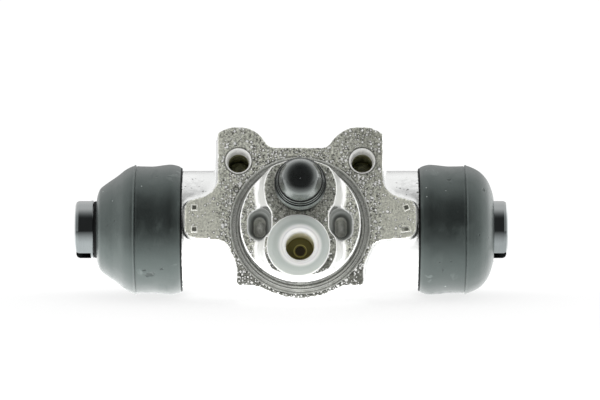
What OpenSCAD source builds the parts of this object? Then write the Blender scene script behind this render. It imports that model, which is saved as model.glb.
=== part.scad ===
// Drum brake wheel cylinder: a die-cast barrel with two opposed pistons.
// X runs along the bore, -Y points out of the mounting face and +Z is up.
// The origin is where the spigot's axis meets the mounting face.

/* [Casting] */
// Diameter of the bore that the pistons slide in
bore_d = 19.05; // [18.5:0.05:19.8]
// Outside diameter of the barrel between the boots
barrel_d = 28.8; // [28:0.1:29.4]
// Length of the barrel, end face to end face
barrel_len = 78; // [76:0.5:79]
// Distance from the mounting face back to the bore axis
bore_y = 16; // [15.7:0.1:17]
// Height of the bore axis above the spigot axis
bore_z = 2.6; // [2.2:0.1:3]
// Thickness of the mounting flange
flange_t = 9; // [7:0.5:10]

/* [Mounting face] */
// Distance between the two tapped mounting holes
bolt_spacing = 30; // [29.6:0.1:30.6]
// Height of the mounting holes above the spigot axis
bolt_z = 16; // [15.6:0.1:16.6]
// Drilled diameter of the M6 mounting holes
bolt_d = 5; // [4.9:0.05:5.2]
// Depth of the mounting holes
bolt_depth = 12; // [9:0.5:12.5]
// Diameter of the entry recess around each mounting hole
bolt_entry_d = 6.6; // [6.2:0.1:7.2]
// Half width of the flange across the side tabs
tab_hw = 27.9; // [26.5:0.1:28.4]
// Half width of the flange across the ears
ear_hw = 19.95; // [19.6:0.05:20.4]
// Radius of the round top of the right ear
right_ear_r = 8.5; // [8.2:0.1:8.8]
// Radius of the round top of the left ear
left_ear_r = 7.7; // [7.5:0.1:8]

/* [Spigot and ports] */
// Diameter of the spigot that locates in the backing plate
spigot_d = 29.2; // [28.8:0.1:29.6]
// Height of the spigot's rim above the mounting face
rim_h = 3.1; // [2.6:0.1:3.6]
// Height of the two joined port bosses above the mounting face
boss_h = 8.4; // [7.8:0.1:9]
// Distance of each port from the spigot axis
port_z = 7.1; // [6.9:0.05:7.3]
// Radius of each port boss
boss_r = 8.7; // [8.4:0.1:9]
// Drilled diameter of the M10 pipe port
inlet_d = 9; // [8.8:0.05:9.2]
// Drilled diameter of the M8 bleed port
bleed_d = 6.8; // [6.6:0.05:7]

/* [Pistons] */
// Distance from the middle of the barrel to the left piston's end
left_reach = 55; // [53:0.1:56.5]
// Distance from the middle of the barrel to the right piston's end
right_reach = 50.6; // [50.2:0.1:51.2]
// Diameter of the piston head outside the boot
head_d = 14.2; // [13.8:0.1:14.6]
// Width of the slot that takes the brake shoe's web
slot_w = 5.5; // [4.5:0.1:6.5]
// Depth of the slot
slot_depth = 3.8; // [3.2:0.1:4.2]

/* [Boots] */
// Largest radius of a boot
boot_r = 15.74; // [15.5:0.02:16]

/* [Return spring] */
// Wire diameter of the spring
spring_wire = 1; // [0.8:0.1:1.1]
// Working turns of the spring
spring_turns = 7; // [5:1:8]

/* [Hidden] */
$fn = 96;

bore_r = bore_d / 2;
barrel_r = barrel_d / 2;
half_len = barrel_len / 2;
seat_x = half_len - 9.95;          // where the barrel steps down for the boot
seat_r = barrel_r - 1;            // barrel under the boot
bead_x0 = seat_x + 1.4;           // groove for the boot's bead
bead_x1 = seat_x + 4.2;
bead_r = seat_r - 1.1;
ridge_x = half_len + 1.4;         // moulding ridge of the boot
bolt_hx = bolt_spacing / 2;
spigot_r = spigot_d / 2;
groove_r = 17;                    // outer edge of the machined ring round the spigot
ring_r = 18;                      // casting round the ring
ring_t = 5.4;                     // depth of its straight edge, before it slopes in to the barrel
ring_back_r = 16.4;
foot_hw = 15.3;                   // lower flange
foot_z = 14.9;
tab_lo = -3.9;
tab_hi = 6.3;
valley_z = 19.3;                  // flange edge between the ears
ear_top = 24.6;                   // top of the ears
ear_f = 3;                        // fillet between an ear and the edge between the ears
waist_x = 6.7;                    // half width of the joined bosses at the waist
waist_r = (waist_x * waist_x + port_z * port_z - boss_r * boss_r) / (2 * (boss_r - waist_x));
boss_trim_r = spigot_r - 0.3;

piston_r = bore_r - 0.045;
head_r = head_d / 2;
head_t = 4.3;                     // length of the head outside the boot groove
neck_t = 2.7;                     // length of the boot groove
neck_r = 5.75;
stem_t = 7.3;                     // reduced length behind the groove
skirt_t = 20;                     // length guided in the bore
piston_len = head_t + neck_t + stem_t + skirt_t;
cup_t = 3.6;
cup_r = 6.6;

// ---- points ------------------------------------------------------------

function unit(v) = v / norm(v);
function turn(a) = a > 180 ? a - 360 : a < -180 ? a + 360 : a;
function arc(c, r, a0, a1, n = 10) = [for (i = [0:n]) c + r * [cos(a0 + (a1 - a0) * i / n), sin(a0 + (a1 - a0) * i / n)]];
// A corner q between p and s, rounded to radius r
function round_corner(p, q, s, r, n = 8) =
    let (a = unit(p - q), b = unit(s - q), w = acos(a * b),
         c = q + unit(a + b) * r / sin(w / 2),
         f = q + a * r / tan(w / 2) - c, g = q + b * r / tan(w / 2) - c,
         a0 = atan2(f[1], f[0]), d = turn(atan2(g[1], g[0]) - a0))
    arc(c, r, a0, a0 + d, n);
// A path of [x, y, radius] with its inner corners rounded
function round_path(v) = [for (i = [0:len(v) - 1])
    each (v[i][2] == 0 ? [[v[i][0], v[i][1]]]
        : round_corner([v[i - 1][0], v[i - 1][1]], [v[i][0], v[i][1]], [v[i + 1][0], v[i + 1][1]], v[i][2]))];
function flip(v) = [for (i = [len(v) - 1:-1:0]) [-v[i][0], v[i][1]]];
// A smooth curve through hand-set points, by cubic steps
function smooth(v, n = 4) = concat([for (i = [0:len(v) - 2], k = [0:n - 1])
    let (p0 = v[max(i - 1, 0)], p1 = v[i], p2 = v[i + 1], p3 = v[min(i + 2, len(v) - 1)], t = k / n)
    0.5 * (2 * p1 + (p2 - p0) * t + (2 * p0 - 5 * p1 + 4 * p2 - p3) * t * t + (3 * p1 - p0 - 3 * p2 + p3) * t * t * t)],
    [v[len(v) - 1]]);

// One half of the flange's outline, from the bottom round to the top; ear is the radius of its ear
function half_outline(ear) =
    let (c = [bolt_hx - 0.3 + (right_ear_r - ear) * 0.6, ear_top - ear],
         a0 = acos((ear_hw - c[0]) / ear),
         f = [c[0] - sqrt(pow(ear + ear_f, 2) - pow(valley_z + ear_f - c[1], 2)), valley_z + ear_f],
         a1 = atan2(f[1] - c[1], f[0] - c[0]))
    concat(
        round_path([[0, -foot_z, 0], [foot_hw, -foot_z, 1], [foot_hw, tab_lo - 0.1, 5.5], [tab_hw, tab_lo + 1, 2.4],
                    [tab_hw, tab_hi - 0.4, 2.3], [ear_hw, tab_hi + 1.9, 5], [ear_hw, bolt_z, 0]]),
        arc(c, ear, a0, a1, 18),
        arc(f, ear_f, a1 - 180, -90, 6),
        [[0, valley_z]]);
outline = concat(half_outline(right_ear_r), [for (p = flip(half_outline(left_ear_r))) if (abs(p[0]) > 0.001) p]);

// ---- helpers -----------------------------------------------------------

// A flat shape in X and Z, from y0 back to y1
module slab(y0, y1) { translate([0, y1, 0]) rotate([90, 0, 0]) linear_extrude(y1 - y0) children(); }
// A round bar along the bore
module x_bar(r, x0, x1) { translate([x0, bore_y, bore_z]) rotate([0, 90, 0]) cylinder(r = r, h = x1 - x0); }
// A round bar or cone square to the mounting face, from height h0 to h1 above it
module y_bar(r, h0, h1, z, x = 0, r2 = -1) {
    translate([x, -h0, z]) rotate([90, 0, 0]) cylinder(r1 = r, r2 = r2 < 0 ? r : r2, h = h1 - h0);
}
// A profile of [radius, x] turned about the bore
module x_turned(pts) { translate([0, bore_y, bore_z]) rotate([0, 90, 0]) rotate_extrude() polygon(pts); }
// A profile of [radius, height above the face] turned about a port
module y_turned(pts, z, x = 0) { translate([x, 0, z]) rotate([90, 0, 0]) rotate_extrude() polygon(pts); }
module side(s) { if (s < 0) mirror([1, 0, 0]) children(); else children(); }
module both() { for (s = [-1, 1]) side(s) children(); }

// ---- casting -----------------------------------------------------------

// Plan of the two port bosses and the waist between them
module boss_plan() {
    intersection() {
        circle(r = boss_trim_r);
        difference() {
            union() {
                for (s = [-1, 1]) translate([0, s * port_z]) circle(r = boss_r);
                square([2 * (waist_x + 1.2), port_z], center = true);
            }
            for (s = [-1, 1]) translate([s * (waist_x + waist_r), 0]) circle(r = waist_r);
        }
    }
}

module casting_blank() {
    // barrel, stepped down under the boots
    x_bar(barrel_r, -seat_x, seat_x);
    both() {
        x_bar(seat_r, seat_x - 1, half_len);
        // thick metal behind each mounting hole
        y_bar(4.9, -15.5, -flange_t + 1, bolt_z, bolt_hx);
    }
    // flange
    slab(0, flange_t) polygon(outline);
    y_bar(ring_r, -ring_t, 0, 0);
    y_bar(ring_back_r, -flange_t, -ring_t, 0, 0, ring_r);
    // neck between the flange and the barrel, round the ports
    y_bar(12.5, -bore_y, -flange_t + 1, 0);
    // spigot and port bosses
    y_bar(spigot_r, -2, rim_h, 0);
    slab(-boss_h, -rim_h + 0.5) boss_plan();
}

module cylinder_body() {
    color([0.78, 0.79, 0.77]) difference() {
        casting_blank();
        // bore with a chamfer at each mouth
        x_bar(bore_r, -half_len - 1, half_len + 1);
        both() x_turned([[0, half_len - 0.7], [bore_r, half_len - 0.7], [bore_r + 0.8, half_len + 0.1], [0, half_len + 0.1]]);
        // groove for each boot's bead
        both() x_turned([[bead_r, bead_x0], [barrel_r + 2, bead_x0], [barrel_r + 2, bead_x1], [bead_r, bead_x1]]);
        // machined ring round the spigot, in two steps
        y_turned([[spigot_r, -0.9], [15.7, -0.9], [15.7, -0.4], [groove_r, -0.4], [groove_r, 0.5], [spigot_r, 0.5]], 0);
        // mounting holes: entry recess, drilled hole and drill point
        both() {
            y_bar(bolt_entry_d / 2 - 0.35, -1.9, -0.4, bolt_z, bolt_hx, bolt_entry_d / 2 - 0.12);
            y_bar(bolt_entry_d / 2 - 0.12, -0.41, 0.01, bolt_z, bolt_hx, bolt_entry_d / 2);
            y_bar(bolt_d / 2, -bolt_depth, -1, bolt_z, bolt_hx);
            y_bar(0.05, -bolt_depth - 1.3, -bolt_depth + 0.001, bolt_z, bolt_hx, bolt_d / 2);
        }
        // pipe port, the seat's pocket and the way up into the bore
        y_bar(inlet_d / 2, -2.5, boss_h + 1, -port_z);
        y_bar(inlet_d / 2, boss_h - 0.5, boss_h + 0.01, -port_z, 0, inlet_d / 2 + 0.5);
        y_bar(3, -5, -2.4, -port_z);
        translate([0, 4.5, -port_z]) rotate([-72, 0, 0]) cylinder(r = 1.1, h = 8.4);
        // bleed port, its cone seat and the way into the bore
        y_bar(bleed_d / 2, -1.5, boss_h + 1, port_z);
        y_bar(1.3, -3.3, -1.499, port_z, 0, bleed_d / 2);
        y_bar(1.3, -bore_y + 3, -3, port_z);
        // pockets beside the waist
        both() waist_pocket();
        // staking dimples on the side tabs
        both() for (z = [-1, 4.4]) translate([25.6, -0.35, z]) sphere(r = 0.85, $fn = 32);
    }
}

// Blind pocket with round ends and sloping walls beside the waist of the bosses
module waist_pocket() {
    mouth = 2.45;                    // half width at the rim
    floor_w = 1.5;                   // half width at the floor
    translate([9.8, 0, -0.3]) {
        for (s = [-1, 1]) y_bar(floor_w, -0.6, rim_h + 0.01, s * 1.45, 0, mouth);
        translate([0, 0, -1.45]) linear_extrude(2.9) polygon([[-floor_w, 0.6], [floor_w, 0.6], [mouth, -rim_h - 0.01], [-mouth, -rim_h - 0.01]]);
    }
}

// ---- moving pieces in the bore -----------------------------------------

module piston(reach) {
    e = reach;
    g0 = e - head_t;                 // inner face of the head
    g1 = g0 - neck_t;                // inner edge of the boot groove
    s1 = g1 - stem_t;                // outer edge of the guided skirt
    i = s1 - skirt_t;                // inner end
    difference() {
        x_turned([[0, e], [head_r - 0.85, e], [head_r - 0.25, e - 0.3], [head_r, e - 0.9], [head_r, g0], [neck_r, g0], [neck_r, g1],
                  [head_r, g1], [head_r, g1 - 4.6], [piston_r - 0.6, s1], [piston_r, s1 - 0.6],
                  [piston_r, i + 2 + cup_t + 0.15], [cup_r, i + 2 + cup_t + 0.15], [cup_r, i + 1.85], [piston_r - 0.4, i + 1.85],
                  [piston_r - 0.4, i + 0.4], [piston_r - 0.9, i], [4.4, i], [4.4, i - 2.6], [4, i - 3], [0, i - 3]]);
        // slot for the shoe's web
        translate([e - slot_depth, bore_y - slot_w / 2, bore_z - head_r - 1]) cube([slot_depth + 1, slot_w, 2 * head_r + 2]);
    }
}

module left_piston() { color([0.33, 0.34, 0.35]) side(-1) piston(left_reach); }
module right_piston() { color([0.33, 0.34, 0.35]) side(1) piston(right_reach); }

// Lip seal in the piston's groove, open towards the fluid
module piston_cup(reach) {
    i = reach - piston_len + 2;
    r = bore_r - 0.03;
    x_turned([[cup_r + 0.03, i], [cup_r + 0.5, i], [cup_r + 1, i + 1.7], [cup_r + 1.45, i + 2], [r - 0.8, i + 1.7], [r - 0.35, i + 0.1],
              [r - 0.1, i], [r, i + 0.5], [r - 0.25, i + 2], [r - 0.25, i + cup_t - 0.3], [r - 0.5, i + cup_t], [cup_r + 0.03, i + cup_t]]);
}

module left_piston_cup() { color([0.1, 0.1, 0.1]) side(-1) piston_cup(left_reach); }
module right_piston_cup() { color([0.1, 0.1, 0.1]) side(1) piston_cup(right_reach); }

// Coil spring between the pistons' inner ends, with a closed turn at each end
spring_x0 = -(left_reach - piston_len) + spring_wire / 2 + 0.1;
spring_x1 = right_reach - piston_len - spring_wire / 2 - 0.1;
spring_r = 5.1;
spring_steps = 16;
end_pitch = spring_wire * 1.12;
function spring_at(t) =             // t counts turns from the left end
    t < 1 ? end_pitch * t
    : t > spring_turns + 1 ? spring_x1 - spring_x0 - end_pitch * (spring_turns + 2 - t)
    : end_pitch + (spring_x1 - spring_x0 - 2 * end_pitch) * (t - 1) / spring_turns;
module return_spring() {
    n = (spring_turns + 2) * spring_steps;
    sides = 8;
    pts = [for (k = [0:n], j = [0:sides - 1])
        let (a = 360 * k / spring_steps, b = 360 * j / sides, r = spring_r + spring_wire / 2 * cos(b))
        [spring_x0 + spring_at(k / spring_steps) + spring_wire / 2 * sin(b), bore_y + r * cos(a), bore_z + r * sin(a)]];
    faces = concat(
        [[for (j = [0:sides - 1]) j]],
        [for (k = [0:n - 1], j = [0:sides - 1])
            let (p = k * sides + j, q = k * sides + (j + 1) % sides) [p, p + sides, q + sides, q]],
        [[for (j = [sides - 1:-1:0]) n * sides + j]]);
    color([0.62, 0.63, 0.65]) polyhedron(pts, faces, convexity = 10);
}

// ---- boots -------------------------------------------------------------

// Skirt over the barrel: outside from the open lip to the moulding ridge
lip_x = seat_x - 0.15;
skirt_out = smooth([[barrel_r + 0.35, lip_x], [boot_r - 0.35, lip_x + 1], [boot_r, lip_x + 2.6], [boot_r - 0.12, lip_x + 4.6],
                    [boot_r - 0.36, lip_x + 7.2], [boot_r - 0.3, ridge_x - 0.9], [boot_r - 0.12, ridge_x - 0.3]], 4);
ridge = [[boot_r, ridge_x - 0.22], [boot_r, ridge_x + 0.12]];
// Inside of the skirt: bead in the barrel's groove, then along the barrel and over its end
skirt_in = [[seat_r, half_len + 0.1], [seat_r, bead_x1 - 0.1], [bead_r + 0.02, bead_x1 - 0.1], [bead_r + 0.02, bead_x0 + 0.1],
            [seat_r, bead_x0 + 0.1], [seat_r, seat_x], [barrel_r, seat_x], [barrel_r, lip_x]];

module boot(outside, lip, inside) { x_turned(concat(skirt_out, ridge, outside, lip, inside, skirt_in)); }

// Stretched: a shallow cone down to the lip in the piston's groove
module left_boot() {
    f = left_reach - head_t - 1.1;            // outer face of the cone's end
    color([0.16, 0.17, 0.17]) side(-1) boot(
        smooth([[boot_r - 0.2, ridge_x + 0.35], [15.2, ridge_x + 1.1], [14.4, ridge_x + 2.5], [13.4, ridge_x + 3.8], [12.5, ridge_x + 5],
                [11.8, f - 3.2], [10.85, f - 1.85], [9.95, f - 0.85], [8.65, f - 0.28], [7.4, f - 0.04], [6.45, f]], 4),
        [[6.4, f + 0.28], [6.25, f + 0.35], [neck_r + 0.2, f + 0.35], [neck_r + 0.1, f + 0.25]],
        smooth([[neck_r + 0.1, f - 1.3], [7, f - 1.3], [7.8, f - 1.45], [8.5, f - 1.95], [9.3, f - 2.7], [10.4, f - 4], [11.4, ridge_x + 3.9], [12.5, ridge_x + 2.3],
                [13.3, ridge_x + 0.4], [seat_r + 0.1, half_len + 0.6]], 3));
}

// Pushed in: the cone rolls out into a dome round the piston's head
module right_boot() {
    f = 47.35;                                // front of the dome
    g = right_reach - head_t;                 // inner face of the piston's head
    color([0.16, 0.17, 0.17]) side(1) boot(
        smooth([[boot_r - 0.1, ridge_x + 0.35], [15.68, ridge_x + 1.2], [15.1, ridge_x + 2.75], [14.2, ridge_x + 4], [12.7, ridge_x + 5.25],
                [11, f - 0.8], [9.4, f - 0.28], [8.2, f - 0.1]], 4),
        smooth([[7.75, f - 0.3], [7.4, f - 0.9], [7.3, g + 0.1], [6.9, g - 0.3], [neck_r + 0.1, g - 0.4]], 4),
        smooth([[neck_r + 0.1, g - 1.9], [7.2, g - 2], [8.5, g - 1.6], [9.4, f - 2], [10.6, f - 2.5], [12.1, ridge_x + 3.6], [13.3, ridge_x + 1.4],
                [seat_r + 0.1, half_len + 0.6]], 3));
}

// ---- ports -------------------------------------------------------------

module bleeder_screw() {
    r = bleed_d / 2 - 0.05;
    color([0.7, 0.68, 0.6]) difference() {
        union() {
            // cone point, thread, nipple with its barb
            y_turned([[0, -3.05], [1.35, -3.05], [r, -1.4], [r, boss_h + 0.5], [2.9, boss_h + 0.5], [2.9, boss_h + 8.6], [3.25, boss_h + 9.6],
                      [3.25, boss_h + 10], [2.6, boss_h + 11.9], [0, boss_h + 11.9]], port_z);
            // hexagon
            translate([0, -boss_h - 0.5, port_z]) rotate([90, 0, 0]) cylinder(r = 4.6, h = 4.6, $fn = 6);
        }
        // way out through the nipple, and the cross hole above the cone
        y_bar(1, 0.5, boss_h + 13, port_z);
        translate([0, -0.9, port_z]) rotate([0, 90, 0]) cylinder(r = 0.8, h = 10, center = true);
    }
}

module bleeder_cap() {
    b = boss_h + 0.12;
    color([0.12, 0.12, 0.12]) y_turned(concat(
        [[4.75, b], [5.95, b], [6.1, b + 0.2], [6.12, b + 3.4], [6.24, b + 3.7], [6.24, b + 4.2], [6.1, b + 4.5], [6.1, b + 6.2], [5.95, b + 6.5],
         [5.65, b + 6.55], [5.6, b + 7.1], [5.4, b + 7.3], [5.35, b + 7.5], [5.42, b + 7.8], [5.32, b + 8.5], [5.12, b + 8.7], [5.08, b + 8.9]],
        smooth([[5.14, b + 9.3], [4.85, b + 10.8], [4.5, b + 12.1], [4, b + 12.95], [3.2, b + 13.35], [1.8, b + 13.48], [0, b + 13.5]], 4),
        [[0, b + 12.2], [2.6, b + 12.2], [3.35, b + 11], [3.35, b + 5.7], [4.75, b + 5.3]]), port_z);
}

module inlet_seat() {
    color([0.72, 0.6, 0.3]) y_turned([[1.2, -5], [3, -5], [3, -2.4], [2.9, -2], [1.6, -0.7], [1.2, -0.7]], -port_z);
}

// Hollow closing plug with a wide flange that sits a little off centre
module inlet_plug() {
    b = boss_h + 0.06;
    color([0.9, 0.91, 0.89]) difference() {
        union() {
            y_turned([[0, b], [7.45, b], [7.6, b + 0.2], [7.6, b + 0.8], [7.4, b + 1.02], [6.2, b + 1.12], [5.3, b + 1.3], [0, b + 1.3]], -port_z + 0.1, -0.45);
            y_turned([[0, 2.2], [3.5, 2.2], [4.05, 2.8], [4.4, b - 0.5], [4.4, b + 0.1], [0, b + 0.1]], -port_z);
        }
        y_turned([[0, 3], [3.2, 3], [3.45, b + 0.5], [3.75, b + 1], [4.2, b + 1.31], [0, b + 1.31]], -port_z, -0.1);
    }
    // ring left by the gate in the plug's floor
    color([0.9, 0.91, 0.89]) y_turned([[1.15, 2.9], [1.65, 2.9], [1.6, 3.3], [1.2, 3.3]], -port_z);
}

cylinder_body();
left_piston();
right_piston();
left_piston_cup();
right_piston_cup();
return_spring();
left_boot();
right_boot();
bleeder_screw();
bleeder_cap();
inlet_seat();
inlet_plug();
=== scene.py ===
import math

import bpy
import numpy as np
from mathutils import Matrix, Vector


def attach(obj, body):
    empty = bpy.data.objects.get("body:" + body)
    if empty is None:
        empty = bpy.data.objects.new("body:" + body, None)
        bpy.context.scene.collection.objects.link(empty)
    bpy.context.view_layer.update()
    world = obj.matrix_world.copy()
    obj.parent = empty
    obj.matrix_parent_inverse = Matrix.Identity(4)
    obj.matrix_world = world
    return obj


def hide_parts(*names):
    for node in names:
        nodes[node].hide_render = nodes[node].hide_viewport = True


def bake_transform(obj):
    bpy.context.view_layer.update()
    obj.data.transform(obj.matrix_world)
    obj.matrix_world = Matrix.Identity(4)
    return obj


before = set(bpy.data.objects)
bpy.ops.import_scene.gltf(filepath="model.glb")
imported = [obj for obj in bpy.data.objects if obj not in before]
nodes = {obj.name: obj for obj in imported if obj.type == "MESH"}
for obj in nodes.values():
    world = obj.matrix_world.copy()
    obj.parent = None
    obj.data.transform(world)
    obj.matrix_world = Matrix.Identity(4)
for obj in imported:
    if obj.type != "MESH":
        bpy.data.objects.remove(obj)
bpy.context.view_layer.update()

MM = 0.001

# ---- sizes, in millimetres, as in the CAD model ---------------------------
BORE_R, BARREL_R, HALF_LEN = 19.05 / 2, 14.4, 39.0
BORE_Y, BORE_Z, FLANGE_T = 16.0, 2.6, 9.0
SEAT_X, SEAT_R = 29.05, 13.4
BEAD_X0, BEAD_X1, BEAD_R = 30.45, 33.25, 12.3
RIDGE_X, BOOT_R, LIP_X = 40.4, 15.74, 28.9
BOLT_X, BOLT_Z = 15.0, 16.0
SPIGOT_R, RIM_H, BOSS_H = 14.6, 3.1, 8.4
PORT_Z, BOSS_R = 7.1, 8.7
NECK_R, HEAD_T = 5.75, 4.3
LEFT_REACH, RIGHT_REACH = 55.0, 50.6


# ---- small helpers ---------------------------------------------------------
def lattice(i, j, k, seed):
    """A number from 0 to 1 for each whole-numbered point."""
    h = (i.astype(np.int64) * 374761393 + j.astype(np.int64) * 668265263 + k.astype(np.int64) * 2147483647 + seed * 1274126177) & 0xFFFFFFFF
    h = ((h ^ (h >> 13)) * 1274126177) & 0xFFFFFFFF
    h = ((h ^ (h >> 16)) * 2246822519) & 0xFFFFFFFF
    return ((h ^ (h >> 15)) & 0xFFFFFF) / float(0xFFFFFF)


def noise(p, size, seed):
    """Smooth noise from -1 to 1 at points p, with lumps of the given size."""
    q = p / size
    b = np.floor(q)
    t = q - b
    t = t * t * (3 - 2 * t)
    b = b.astype(np.int64)
    out = np.zeros(len(p))
    for dx in (0, 1):
        for dy in (0, 1):
            for dz in (0, 1):
                w = (t[:, 0] if dx else 1 - t[:, 0]) * (t[:, 1] if dy else 1 - t[:, 1]) * (t[:, 2] if dz else 1 - t[:, 2])
                out += w * lattice(b[:, 0] + dx, b[:, 1] + dy, b[:, 2] + dz, seed)
    return out * 2 - 1


def smooth_path(v, n=4):
    """A smooth curve through given points, by cubic steps."""
    v = [np.array(p, float) for p in v]
    out = []
    for i in range(len(v) - 1):
        p0, p1, p2, p3 = v[max(i - 1, 0)], v[i], v[i + 1], v[min(i + 2, len(v) - 1)]
        for k in range(n):
            t = k / n
            out.append(0.5 * (2 * p1 + (p2 - p0) * t + (2 * p0 - 5 * p1 + 4 * p2 - p3) * t * t + (3 * p1 - p0 - 3 * p2 + p3) * t ** 3))
    return out + [v[-1]]


def step(a, b, x):
    t = np.clip((x - a) / (b - a), 0, 1)
    return t * t * (3 - 2 * t)


def new_object(name, verts, faces, materials=(), index=None, smooth=True):
    me = bpy.data.meshes.new(name)
    me.from_pydata(np.asarray(verts, float).tolist(), [], faces if isinstance(faces, list) else faces.tolist())
    for m in materials:
        me.materials.append(m)
    if index is not None:
        me.polygons.foreach_set("material_index", np.full(len(me.polygons), index, np.int32))
    me.polygons.foreach_set("use_smooth", np.full(len(me.polygons), smooth, bool))
    me.update()
    o = bpy.data.objects.new(name, me)
    bpy.context.scene.collection.objects.link(o)
    return o


def revolve(points, seg=96):
    """Vertices (r cos, r sin, h) and faces of a closed profile of (radius, height); a radius may hold one value per segment."""
    a = np.arange(seg) * 2 * math.pi / seg
    verts, rings, n = [], [], 0
    for r, h in points:
        if np.isscalar(r) and r < 1e-6:
            verts.append([[0, 0, h]])
            rings.append((n, 1))
            n += 1
        else:
            rr = np.full(seg, r) if np.isscalar(r) else np.asarray(r)
            verts.append(np.stack([rr * np.cos(a), rr * np.sin(a), np.full(seg, h)], 1))
            rings.append((n, seg))
            n += seg
    faces = []
    for k in range(len(rings)):
        (p, c), (q, d) = rings[k], rings[(k + 1) % len(rings)]
        for i in range(seg):
            j = (i + 1) % seg
            if c > 1 and d > 1:
                faces.append((p + i, p + j, q + j, q + i))
            elif c > 1:
                faces.append((p + i, p + j, q))
            elif d > 1:
                faces.append((p, q + j, q + i))
    v = np.concatenate([np.asarray(x, float) for x in verts])
    return v, faces


def outward(v, faces):
    """The faces, turned so that they look out of a closed shape."""
    vol = 0.0
    for f in faces:
        for k in range(1, len(f) - 1):
            vol += np.dot(v[f[0]], np.cross(v[f[k]], v[f[k + 1]]))
    return faces if vol > 0 else [tuple(reversed(f)) for f in faces]


def turned_y(points, x, z, seg=96):
    """A profile of (radius, y) turned about an axis square to the mounting face."""
    v, f = revolve(points, seg)
    v = np.stack([v[:, 0] + x, v[:, 2], v[:, 1] + z], 1)
    return v, outward(v, f)


def turned_x(points, seg=128):
    """A profile of (radius, x) turned about the bore."""
    v, f = revolve(points, seg)
    v = np.stack([v[:, 2], v[:, 0] + BORE_Y, v[:, 1] + BORE_Z], 1)
    return v, outward(v, f)


def bake_modifier(o):
    bpy.context.view_layer.update()
    dg = bpy.context.evaluated_depsgraph_get()
    me = bpy.data.meshes.new_from_object(o.evaluated_get(dg))
    o.modifiers.clear()
    old = o.data
    o.data = me
    bpy.data.meshes.remove(old)


def boolean(o, shape, mats, op="DIFFERENCE", index=1):
    v, f = shape
    c = new_object("cutter", v, f, mats, index)
    m = o.modifiers.new("cut", "BOOLEAN")
    m.operation, m.object, m.solver = op, c, "MANIFOLD"
    bake_modifier(o)
    me = c.data
    bpy.data.objects.remove(c)
    bpy.data.meshes.remove(me)


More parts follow.
